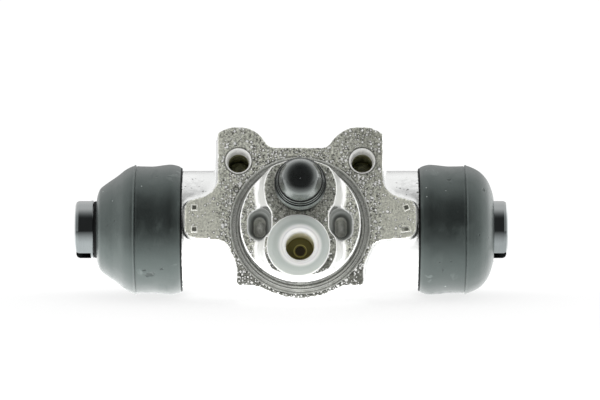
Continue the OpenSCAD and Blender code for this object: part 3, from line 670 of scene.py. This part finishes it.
# ---- the casting -----------------------------------------------------------
def round_corner(p, q, s, r, n=8):
    p, q, s = (np.array(v, float) for v in (p, q, s))
    a, b = (p - q) / np.linalg.norm(p - q), (s - q) / np.linalg.norm(s - q)
    w = math.acos(a @ b)
    c = q + (a + b) / np.linalg.norm(a + b) * r / math.sin(w / 2)
    f, g = q + a * r / math.tan(w / 2) - c, q + b * r / math.tan(w / 2) - c
    a0 = math.atan2(f[1], f[0])
    d = (math.atan2(g[1], g[0]) - a0 + math.pi) % (2 * math.pi) - math.pi
    return [c + r * np.array([math.cos(a0 + d * i / n), math.sin(a0 + d * i / n)]) for i in range(n + 1)]


def round_path(v):
    out = []
    for i, (x, z, r) in enumerate(v):
        out += [np.array([x, z], float)] if r == 0 else round_corner(v[i - 1][:2], (x, z), v[i + 1][:2], r)
    return out


def arc(c, r, a0, a1, n):
    return [np.array(c) + r * np.array([math.cos(a0 + (a1 - a0) * i / n), math.sin(a0 + (a1 - a0) * i / n)]) for i in range(n + 1)]


def half_outline(ear):
    """One half of the flange's outline, from the bottom round to the top."""
    top, hw, fillet, valley = 24.6, 19.95, 3.0, 19.3
    c = (BOLT_X - 0.3 + (8.5 - ear) * 0.6, top - ear)
    a0 = math.acos((hw - c[0]) / ear)
    f = (c[0] - math.sqrt((ear + fillet) ** 2 - (valley + fillet - c[1]) ** 2), valley + fillet)
    a1 = math.atan2(f[1] - c[1], f[0] - c[0])
    return (round_path([(0, -14.9, 0), (15.3, -14.9, 1), (15.3, -4.0, 5.5), (27.9, -2.9, 2.4), (27.9, 5.9, 2.3), (hw, 8.2, 5), (hw, BOLT_Z, 0)])
            + arc(c, ear, a0, a1, 18) + arc(f, fillet, a1 - math.pi, -math.pi / 2, 6) + [np.array([0, valley])])


def polygon_distance(poly, x, z):
    """Signed distance in X and Z, below zero inside."""
    d = np.full((len(x), len(z)), 1e9)
    inside = np.zeros((len(x), len(z)), bool)
    px, pz = x[:, None], z[None, :]
    for a, b in zip(poly, poly[1:] + poly[:1]):
        e = b - a
        if e @ e < 1e-12:
            continue
        t = np.clip(((px - a[0]) * e[0] + (pz - a[1]) * e[1]) / (e @ e), 0, 1)
        d = np.minimum(d, np.hypot(px - a[0] - t * e[0], pz - a[1] - t * e[1]))
        if a[1] != b[1]:
            crosses = ((a[1] > pz) != (b[1] > pz)) & (px < (b[0] - a[0]) * (pz - a[1]) / (b[1] - a[1]) + a[0])
            inside ^= crosses
    return np.where(inside, -d, d)


def join(a, b, k):
    """Union with a fillet of about k."""
    h = np.maximum(k - np.abs(a - b), 0) / k
    return np.minimum(a, b) - h * h * k / 4


def rounded(a, b, r):
    """Where two distances meet, with the edge between them rounded."""
    a, b = a + r, b + r
    return np.minimum(np.maximum(a, b), 0) + np.hypot(np.maximum(a, 0), np.maximum(b, 0)) - r


def surface_nets(f, origin, h):
    """Quads of the surface where f is zero."""
    s = f < 0
    n = np.array(f.shape)
    corners = [(a, b, c) for a in (0, 1) for b in (0, 1) for c in (0, 1)]
    cut = [s[a:n[0] - 1 + a, b:n[1] - 1 + b, c:n[2] - 1 + c] for a, b, c in corners]
    on = np.logical_or.reduce(cut) & ~np.logical_and.reduce(cut)
    cell = np.array(np.nonzero(on)).T
    number = np.full(on.shape, -1, np.int64)
    number[on] = np.arange(len(cell))
    total, count = np.zeros((len(cell), 3)), np.zeros(len(cell))
    for a in corners:
        for axis in range(3):
            if a[axis]:
                continue
            b = list(a)
            b[axis] = 1
            pa, pb = cell + a, cell + b
            fa, fb = f[tuple(pa.T)].astype(float), f[tuple(pb.T)].astype(float)
            m = (fa < 0) != (fb < 0)
            t = fa[m] / (fa[m] - fb[m])
            p = np.tile(np.array(a, float), (m.sum(), 1))
            p[:, axis] += t
            total[m] += p
            count[m] += 1
    verts = np.array(origin) + h * (cell + total / count[:, None])
    quads = []
    for axis in range(3):
        u, w = (axis + 1) % 3, (axis + 2) % 3
        lo, hi = [slice(None)] * 3, [slice(None)] * 3
        lo[axis], hi[axis] = slice(0, -1), slice(1, None)
        change = s[tuple(lo)] != s[tuple(hi)]
        for first in (True, False):
            e = np.array(np.nonzero(change & (s[tuple(lo)] == first))).T
            e = e[(e[:, u] > 0) & (e[:, w] > 0) & (e[:, u] < n[u] - 1) & (e[:, w] < n[w] - 1)]
            ring = []
            for du, dw in ((-1, -1), (0, -1), (0, 0), (-1, 0)):
                c = e.copy()
                c[:, u] += du
                c[:, w] += dw
                ring.append(number[tuple(c.T)])
            q = np.stack(ring, 1)
            quads.append(q if first else q[:, ::-1])
    return verts, np.concatenate(quads)


def casting_blank():
    h = 0.32
    xs, ys, zs = (np.arange(a, b, h, dtype=np.float32) for a, b in ((-30.1, 30.1), (-9.1, 31.3), (-19.1, 25.7)))
    x, y, z = xs[:, None, None], ys[None, :, None], zs[None, None, :]
    right, left = half_outline(8.5), half_outline(7.7)
    outline = right + [np.array([-p[0], p[1]]) for p in reversed(left) if abs(p[0]) > 0.001]
    plan = polygon_distance(outline, xs, zs).astype(np.float32)[:, None, :]
    rho = np.hypot(x, z)
    # flange: drafted sides, and the ring that slopes in behind its edge
    ring = rho - (17.93 - np.maximum(y - 5.4, 0) * (1.6 / 3.6))
    plan = join(plan - 0.075 * np.clip(y, 0, 9), ring, 1.0)
    plan = -join(-plan, 24.46 - z + 0 * y, 0.15)
    f = rounded(plan, np.abs(y - 4.5) - 4.5, 0.2)
    # barrel, neck and the metal behind the mounting holes
    barrel = rounded(np.hypot(y - BORE_Y, z - BORE_Z) - BARREL_R + 0 * x, np.abs(x) - SEAT_X, 0.3)
    f = join(f, barrel, 1.5)
    f = join(f, rounded(rho - 12.5, np.abs(y - 12) - 4, 0.5), 2.0)
    back = rounded(np.hypot(np.abs(x) - BOLT_X, z - BOLT_Z) - 4.9, np.abs(y - 11.75) - 3.75, 1.2)
    f = join(f, back, 1.8)
    # spigot and the two joined bosses, with a wide fillet at their foot
    spigot = np.maximum(rho - SPIGOT_R, np.abs(y + 0.55) - 2.55)
    two = join(np.hypot(x, z - PORT_Z) - BOSS_R, np.hypot(x, z + PORT_Z) - BOSS_R, 6.4)
    two = np.maximum(two, rho - (SPIGOT_R - 0.3))
    boss = rounded(two - 0.33 * np.clip(y + BOSS_H, 0, 5.3), np.abs(y + 4.2) - 4.2, 0.34)
    f = np.minimum(f, np.maximum(join(boss, spigot, 3.0), rho - SPIGOT_R))
    # blind pockets beside the waist
    t = np.clip((1.0 - y) / 4.1, 0, 1.3)
    q = np.hypot(np.abs(x) - 9.8, np.maximum(np.abs(z + 0.65) - 0.75 - 0.35 * t, 0))
    lump = 1.9 * np.clip(1 - (np.hypot(np.abs(x) - 9.8 + 0.2, (z + 0.9) * 0.62) / 1.75) ** 2, 0, 1)
    pocket = np.maximum((q - 1.1 - 1.35 * t) * 0.95, (y - 1.0 + lump) * 0.8)
    f = -join(-f, pocket, 0.6)
    return surface_nets(f.astype(np.float32), (xs[0], ys[0], zs[0]), h)


def vertex_normals(v, q):
    n = np.zeros_like(v)
    c = np.cross(v[q[:, 2]] - v[q[:, 0]], v[q[:, 3]] - v[q[:, 1]])
    for k in range(4):
        np.add.at(n, q[:, k], c)
    return n / np.maximum(np.linalg.norm(n, axis=1, keepdims=True), 1e-9)


def roughen(v, nrm):
    """Lumps of the cast skin, and beads of metal standing on the mounting face."""
    front = (nrm[:, 1] < -0.6) & (np.abs(v[:, 1]) < 0.6)
    tab = step(18.5, 21.5, np.abs(v[:, 0]))
    amp = np.where(front, 0.05 - 0.035 * tab, 0.018)
    amp = np.where((nrm[:, 1] < -0.6) & (v[:, 1] < -2.5), 0.03, amp)
    d = amp * (0.6 * noise(v, 0.95, 3) + 0.6 * noise(v, 0.5, 5)) + 0.03 * noise(v, 5.0, 7)
    rng = np.random.default_rng(11)
    ids = np.nonzero(front)[0]
    p = v[ids]
    n_beads = 420
    pick = rng.choice(len(ids), n_beads, replace=False)
    for k in pick:
        c = p[k]
        low = step(-6, -12, c[2])
        keep = 0.35 + 0.65 * low if abs(c[0]) < 18 else 0.28
        if rng.random() > keep:
            continue
        r = rng.uniform(0.32, 0.62)
        dist = np.hypot(p[:, 0] - c[0], p[:, 2] - c[2])
        near = dist < r
        d[ids[near]] += rng.uniform(0.10, 0.22) * (1 - (dist[near] / r) ** 2)
    return v + nrm * d[:, None]


def threaded(profile_r, y0, y1, pitch, depth, seg, x, z, tail):
    """Cutter for a tapped hole: a thread between y0 and y1, then the points of tail."""
    rows = int((y1 - y0) / pitch * 7)
    a = np.arange(seg) / seg
    pts = []
    for k in range(rows + 1):
        yk = y0 + (y1 - y0) * k / rows
        t = (yk / pitch - a) % 1.0
        wave = np.clip(1.15 - np.abs(t - 0.5) * 3.0, 0, 1)
        fade = min(1.0, max(0.0, (y1 - yk) / pitch))
        pts.append((profile_r + depth * wave * fade, yk))
    return pts + tail


def build_casting():
    mats = [M_CAST, M_TURNED, M_DRILLED]
    v, q = casting_blank()
    v = roughen(v, vertex_normals(v, q))
    o = new_object("casting", v, q, mats)
    m = o.modifiers.new("reduce", "DECIMATE")
    m.ratio = 0.56
    bake_modifier(o)
    # barrel under the boots, with the groove for each boot's bead
    for s in (-1, 1):
        prof = [(0, SEAT_X - 1.5), (SEAT_R, SEAT_X - 1.5), (SEAT_R, BEAD_X0), (BEAD_R, BEAD_X0), (BEAD_R, BEAD_X1), (SEAT_R, BEAD_X1),
                (SEAT_R, HALF_LEN - 0.4), (SEAT_R - 0.4, HALF_LEN), (0, HALF_LEN)]
        boolean(o, turned_x([(r, s * xx) for r, xx in prof]), mats, "UNION")
    # bore
    e = HALF_LEN + 0.5
    boolean(o, turned_x([(0, -e), (BORE_R + 1.3, -e), (BORE_R, -HALF_LEN + 0.7), (BORE_R, HALF_LEN - 0.7), (BORE_R + 1.3, e), (0, e)]), mats, index=2)
    # machined ring round the spigot, and the spigot's turned edge
    prof = [(SPIGOT_R, 1.3), (14.85, 1.3), (14.95, 0.75), (15.4, 0.70), (15.46, 0.82), (15.58, 0.82), (15.66, 0.56), (16.3, 0.48), (16.38, 0.58), (16.5, 0.58), (16.58, 0.44), (16.72, 0.42), (16.80, 0.36), (17.03, -0.05), (17.08, -0.3), (17.3, -9.5),
            (SPIGOT_R - 0.24, -9.5), (SPIGOT_R - 0.24, -RIM_H - 0.1), (SPIGOT_R - 0.36, -RIM_H + 0.02), (SPIGOT_R, -RIM_H + 0.40)]
    boolean(o, turned_y(prof, 0, 0, 192), mats, index=1)
    # tapped mounting holes with their entry recess
    for s in (-1, 1):
        head = [(0, -1.5), (4.4, -1.5), (3.24, -0.14), (3.12, 0.1), (2.78, 0.5), (2.7, 3.3), (2.46, 3.6)]
        body = threaded(2.46, 3.7, 10.8, 1.0, 0.32, 64, s * BOLT_X, BOLT_Z, [(2.46, 12.0), (0, 13.3)])
        boolean(o, turned_y(head + body, s * BOLT_X, BOLT_Z, 64), mats, index=2)
    # pipe port with its thread, the seat's pocket and the way up into the bore
    head = [(0, -10), (5.4, -10), (5.4, -8.7), (5.0, -8.35), (4.52, -7.85)]
    body = threaded(4.5, -7.8, 1.2, 1.0, 0.42, 80, 0, -PORT_Z, [(4.5, 2.5), (3.0, 2.5), (3.0, 5.0), (0, 5.0)])
    boolean(o, turned_y(head + body, 0, -PORT_Z, 80), mats, index=2)
    pv, pf = turned_y([(0, 0), (1.1, 0), (1.1, 8.4), (0, 8.4)], 0, 0, 32)
    t = math.radians(18)
    pv = np.stack([pv[:, 0], 4.5 + pv[:, 1] * math.cos(t) - pv[:, 2] * math.sin(t), -PORT_Z + pv[:, 1] * math.sin(t) + pv[:, 2] * math.cos(t)], 1)
    boolean(o, (pv, pf), mats, index=2)
    # bleed port, its cone seat and the way into the bore
    boolean(o, turned_y([(0, -10), (3.4, -10), (3.4, 1.5), (1.3, 3.3), (1.3, 13), (0, 13)], 0, PORT_Z, 64), mats, index=2)
    # staking marks: a raised square lip round a small pit, the last one struck twice
    def square(levels, cx, cz, turn, stretch):
        v, f = revolve([(w * math.sqrt(2), h) for w, h in levels], 4)
        a = math.radians(45 + turn)
        px, pz = (v[:, 0] * math.cos(a) - v[:, 1] * math.sin(a)) * stretch, v[:, 0] * math.sin(a) + v[:, 1] * math.cos(a)
        v = np.stack([px + cx, v[:, 2], pz + cz], 1)
        return v, outward(v, f)

    for cx, cz, turn, stretch in ((-25.6, 4.4, 0, 1), (-25.6, -1.0, 0, 1), (25.6, 4.4, 24, 1), (25.3, -0.9, 12, 1.7)):
        boolean(o, square([(0, 0.4), (0.82, 0.4), (0.8, -0.04), (0.66, -0.2), (0.5, -0.24), (0, -0.24)], cx, cz, turn, stretch), mats, "UNION", index=0)
        boolean(o, square([(0, -1.0), (0.5, -1.0), (0.47, -0.2), (0.36, 0.3), (0, 0.36)], cx, cz, turn, stretch), mats, index=0)
    me = o.data
    me.transform(Matrix.Scale(MM, 4))
    me.polygons.foreach_set("use_smooth", np.full(len(me.polygons), True, bool))
    me.set_sharp_from_angle(angle=math.radians(42))
    me.update()
    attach(o, "cylinder")
    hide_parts("cylinder_body")
    return o


# ---- boots -----------------------------------------------------------------
def boot_profile(outside, lip, inside):
    """Closed profile of (radius, along), and how many of its points are on the outside; the dull stretches, which get
    the darker rubber of painted shade, are listed too.
    """
    edge = [(BARREL_R + 0.02, LIP_X), (BARREL_R + 0.42, LIP_X), (BARREL_R + 0.55, LIP_X + 0.24)]
    skirt = smooth_path([(BARREL_R + 0.6, LIP_X + 0.3), (BOOT_R - 0.35, LIP_X + 1), (BOOT_R, LIP_X + 2.6), (BOOT_R - 0.12, LIP_X + 4.6),
                         (BOOT_R - 0.4, LIP_X + 7.2), (BOOT_R - 0.36, RIDGE_X - 1.2), (BOOT_R - 0.30, RIDGE_X - 0.62)], 6)
    ridge = [(BOOT_R - 0.40, RIDGE_X - 0.44), (BOOT_R - 0.42, RIDGE_X - 0.28), (BOOT_R - 0.08, RIDGE_X - 0.14), (BOOT_R, RIDGE_X - 0.04), (BOOT_R - 0.06, RIDGE_X + 0.1)]
    inner = [(SEAT_R, HALF_LEN + 0.1), (SEAT_R, BEAD_X1 - 0.1), (BEAD_R + 0.02, BEAD_X1 - 0.1), (BEAD_R + 0.02, BEAD_X0 + 0.1),
             (SEAT_R, BEAD_X0 + 0.1), (SEAT_R, SEAT_X), (BARREL_R, SEAT_X), (BARREL_R, LIP_X)]
    first = len(edge) + len(skirt)
    n_out = first + len(ridge) + len(outside)
    dull = [0, 1] + list(range(n_out - 1, n_out + len(lip)))
    return edge + [tuple(p) for p in skirt] + ridge + [tuple(p) for p in outside] + [tuple(p) for p in lip] + [tuple(p) for p in inside] + inner, n_out, dull


def build_boot(name, side, shape, seed):
    seg = 168
    profile, n_out, dull = shape
    v, f = turned_x([(r, side * xx) for r, xx in profile], seg)
    ring = np.repeat(np.arange(len(profile)), seg)
    outer = ring < n_out
    dy, dz = v[:, 1] - BORE_Y, v[:, 2] - BORE_Z
    r = np.hypot(dy, dz)
    d = 0.05 * noise(v, 6.0, seed) + 0.03 * noise(v, 2.2, seed + 1)
    lipped = step(3.0, 0.0, np.abs(v[:, 0]) - LIP_X)
    d += lipped * 0.10 * noise(v, 4.0, seed + 2)
    ax = np.abs(v[:, 0])
    d += np.where(np.abs(ax - RIDGE_X) < 0.25, 0.05 * noise(v, 1.1, seed + 3) - 0.03, 0)
    d = np.where(outer, np.minimum(d, 0.12) - 0.06, 0)
    k = (r + d) / np.maximum(r, 1e-6)
    tall = np.where(outer, 1 + 0.017 * step(7.5, 12, r), 1)
    v[:, 1], v[:, 2] = BORE_Y + dy * k, BORE_Z + dz * k * tall
    o = new_object(name, v * MM, f, [M_BOOT, M_LIP_SHADE])
    index = np.zeros(len(profile), np.int32)
    # the dull stretches get the darker rubber: painted shade at the skirt's edge on the barrel and at the collar by the
    # piston
    index[dull] = 1
    o.data.polygons.foreach_set("material_index", np.repeat(index, seg))
    o.data.set_sharp_from_angle(angle=math.radians(50))
    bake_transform(o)
    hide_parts("left_boot" if side < 0 else "right_boot")
    return o


def build_boots():
    f = LEFT_REACH - HEAD_T - 1.1
    out = smooth_path([(BOOT_R - 0.3, RIDGE_X + 0.3), (15.16, RIDGE_X + 1.1), (14.4, RIDGE_X + 2.5), (13.4, RIDGE_X + 3.8), (12.5, RIDGE_X + 5),
                       (11.8, f - 3.1), (10.85, f - 1.7), (9.95, f - 0.62), (8.65, f - 0.05), (7.6, f + 0.18), (7.02, f + 0.22)], 6)
    lip = [(6.95, f + 0.32), (6.92, f + 0.8), (6.75, f + 0.97), (NECK_R + 0.2, f + 0.97), (NECK_R + 0.1, f + 0.85)]
    ins = smooth_path([(NECK_R + 0.1, f - 1.3), (7, f - 1.3), (7.8, f - 1.45), (8.5, f - 1.95), (9.3, f - 2.7), (10.4, f - 4), (11.4, RIDGE_X + 3.9),
                       (12.5, RIDGE_X + 2.3), (13.3, RIDGE_X + 0.4), (SEAT_R + 0.1, HALF_LEN + 0.6)], 3)
    build_boot("left_boot_skin", -1, boot_profile(out, lip, ins), 21)
    f, g = 47.35, RIGHT_REACH - HEAD_T
    out = smooth_path([(BOOT_R - 0.22, RIDGE_X + 0.3), (15.25, RIDGE_X + 1.1), (14.65, RIDGE_X + 2.5), (13.85, RIDGE_X + 3.75), (12.4, RIDGE_X + 5.1),
                       (10.7, f - 0.9), (9.2, f - 0.36), (8.2, f - 0.12)], 6)
    lip = smooth_path([(7.75, f - 0.3), (7.4, f - 0.9), (7.3, g + 0.1), (6.9, g - 0.3), (NECK_R + 0.1, g - 0.4)], 4)
    ins = smooth_path([(NECK_R + 0.1, g - 1.9), (7.2, g - 2), (8.5, g - 1.6), (9.4, f - 2), (10.6, f - 2.5), (12.1, RIDGE_X + 3.6), (13.3, RIDGE_X + 1.4),
                       (SEAT_R + 0.1, HALF_LEN + 0.6)], 3)
    build_boot("right_boot_skin", 1, boot_profile(out, lip, ins), 41)


# ---- return spring, in two halves, left and right -------------------------
def build_spring():
    wire, turns, radius, per, sides = 1.0, 7, 5.1, 28, 10
    x0, x1 = -(LEFT_REACH - 34.3) + wire / 2 + 0.1, RIGHT_REACH - 34.3 - wire / 2 - 0.1
    pitch = wire * 1.12

    def at(t):
        if t < 1:
            return x0 + pitch * t
        if t > turns + 1:
            return x1 - pitch * (turns + 2 - t)
        return x0 + pitch + (x1 - x0 - 2 * pitch) * (t - 1) / turns

    half = (turns + 2) / 2
    for name, side, t0, t1 in (("spring_left", -1, 0, half), ("spring_right", 1, half, turns + 2)):
        n = int(round((t1 - t0) * per))
        v, f = [], []
        for k in range(n + 1):
            t = t0 + (t1 - t0) * k / n
            a = 2 * math.pi * t
            for j in range(sides):
                b = 2 * math.pi * j / sides
                r = radius + wire / 2 * math.cos(b)
                v.append((at(t) + wire / 2 * math.sin(b), BORE_Y + r * math.cos(a), BORE_Z + r * math.sin(a)))
        for k in range(n):
            for j in range(sides):
                p, q = k * sides + j, k * sides + (j + 1) % sides
                f.append((p, p + sides, q + sides, q))
        f.append(tuple(range(sides)))
        f.append(tuple(n * sides + j for j in reversed(range(sides))))
        v = np.array(v)
        o = new_object(name, v * MM, outward(v, f), [M_SPRING])
        o.data.set_sharp_from_angle(angle=math.radians(50))
        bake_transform(o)
        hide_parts("return_spring")


build_casting()
build_boots()
build_cap()
build_spring()


# ---- floor, light and camera ----------------------------------------------
LEAN = math.radians(20.0)                   # the part leans back on its boots and the flange's lower edge
UP = Vector((0, -math.sin(LEAN), math.cos(LEAN)))
AHEAD = Vector((0, -math.cos(LEAN), -math.sin(LEAN)))
low = (-16 * math.sin(LEAN) + 2.6 * math.cos(LEAN) - 15.97 - 0.05) * MM
centre = UP * low
verts = [centre + Vector((sx * 0.7, 0, 0)) + AHEAD * a for a, sx in ((-0.075, -1), (-0.075, 1), (0.7, 1), (0.7, -1))]
floor = new_object("floor", [tuple(v) for v in verts], [(0, 1, 2, 3)], smooth=False)
if floor.data.polygons[0].normal.dot(UP) < 0:
    floor.data.flip_normals()
fm, fn, fb = material("floor_white", Roughness=1.0, Specular_IOR_Level=0.0)
fn.put(fb["Base Color"], (0.22, 0.22, 0.22, 1))
fn.put(fb["Emission Color"], (1, 1, 1, 1))
# lit from below like a light table: only its own picture shows the soft shadow
spot = fn.add("ShaderNodeVectorMath", {"operation": "DOT_PRODUCT"})
fn.put(spot.inputs[0], fn.object_co())
spot.inputs[1].default_value = AHEAD
away = fn.math("POWER", fn.math("DIVIDE", fn.math("MAXIMUM", spot.outputs["Value"], 0.0), 0.03), 1.3)
far = fn.spot(fn.object_co(), tuple(centre), (1, 1, 1))
fn.put(fb["Emission Strength"], fn.math("MAXIMUM", fn.ramp(far, 0.075, 0.17, 0.775, 1.02), fn.ramp(spot.outputs["Value"], -0.01, -0.065, 0.775, 1.02)))
lit = fn.add("ShaderNodeEmission", Color=(1, 1, 1, 1), Strength=fn.times(fn.plus(0.35, fn.math("DIVIDE", 2.75, fn.plus(1.0, away))), fn.ramp(fn.xyz(fn.object_co())[0], 0.0, 0.04, 1.0, 0.78)))
which = fn.add("ShaderNodeMixShader")
fn.put(which.inputs[0], fn.add("ShaderNodeLightPath").outputs["Is Camera Ray"])
fn.put(which.inputs[1], lit.outputs[0])
fn.put(which.inputs[2], fm.node_tree.nodes["Principled BSDF"].outputs[0])
fn.put(fm.node_tree.nodes["Material Output"].inputs["Surface"], which.outputs[0])
floor.data.materials.append(fm)

world = bpy.data.worlds.new("studio")
bpy.context.scene.world = world
world.use_nodes = True
wn = Nodes(world.node_tree)
bg = world.node_tree.nodes["Background"]
way = world.node_tree.nodes.new("ShaderNodeTexCoord").outputs["Generated"]


def facing(v):
    d = world.node_tree.nodes.new("ShaderNodeVectorMath")
    d.operation = "DOT_PRODUCT"
    wn.put(d.inputs[0], way)
    d.inputs[1].default_value = v
    return d.outputs["Value"]


# a dark room ahead, softly lighter overhead and behind, bright walls to each side
turn = math.radians(22)
rise_way = facing(UP * math.cos(turn) - AHEAD * math.sin(turn))
side_way = wn.times(facing((1, 0, 0)), 1.5)
away = wn.math("ARCTAN2", wn.math("SQRT", wn.plus(wn.times(rise_way, rise_way), wn.times(side_way, side_way))), facing(AHEAD * math.cos(turn) + UP * math.sin(turn)))
behind = wn.math("ARCCOSINE", facing(AHEAD * math.cos(turn) + UP * math.sin(turn)))
light = wn.times(wn.plus(wn.ramp(away, math.radians(30), math.radians(82), 0.11, 1.5), wn.ramp(facing((1, 0, 0)), 0.45, 0.95, 0.0, 0.20), wn.ramp(facing((-1, 0, 0)), 0.45, 0.95, 0.0, 0.12)),
                 wn.ramp(behind, math.radians(112), math.radians(165), 1.0, 0.30))
light = wn.plus(light, wn.ramp(facing((0.59, 0.81, 0)), 0.80, 0.97, 0.0, 1.6), wn.ramp(facing((-0.59, 0.81, 0)), 0.80, 0.97, 0.0, 0.7))
seen = world.node_tree.nodes.new("ShaderNodeLightPath").outputs["Is Camera Ray"]
wn.put(bg.inputs["Color"], (1, 1, 1, 1))
wn.put(bg.inputs["Strength"], wn.plus(wn.times(seen, 1.05), wn.times(wn.math("SUBTRACT", 1.0, seen), light)))

TILT = math.radians(13.3)
look = Vector((0, math.cos(TILT), math.sin(TILT)))
rise = Vector((0, -math.sin(TILT), math.cos(TILT)))
cam_data = bpy.data.cameras.new("camera")
cam = bpy.data.objects.new("camera", cam_data)
bpy.context.scene.collection.objects.link(cam)
cam.location = look * -1.0 + rise * 0.006107 - Vector((0.00007, 0, 0))
cam.rotation_mode = "QUATERNION"
cam.rotation_quaternion = Matrix((Vector((1, 0, 0)), rise, -look)).transposed().to_quaternion()
cam_data.lens_unit = "MILLIMETERS"
cam_data.sensor_width = 36.0
cam_data.lens = 248.6
cam_data.clip_start, cam_data.clip_end = 0.01, 20.0
bpy.context.scene.camera = cam
bpy.context.scene.view_settings.view_transform = "Standard"
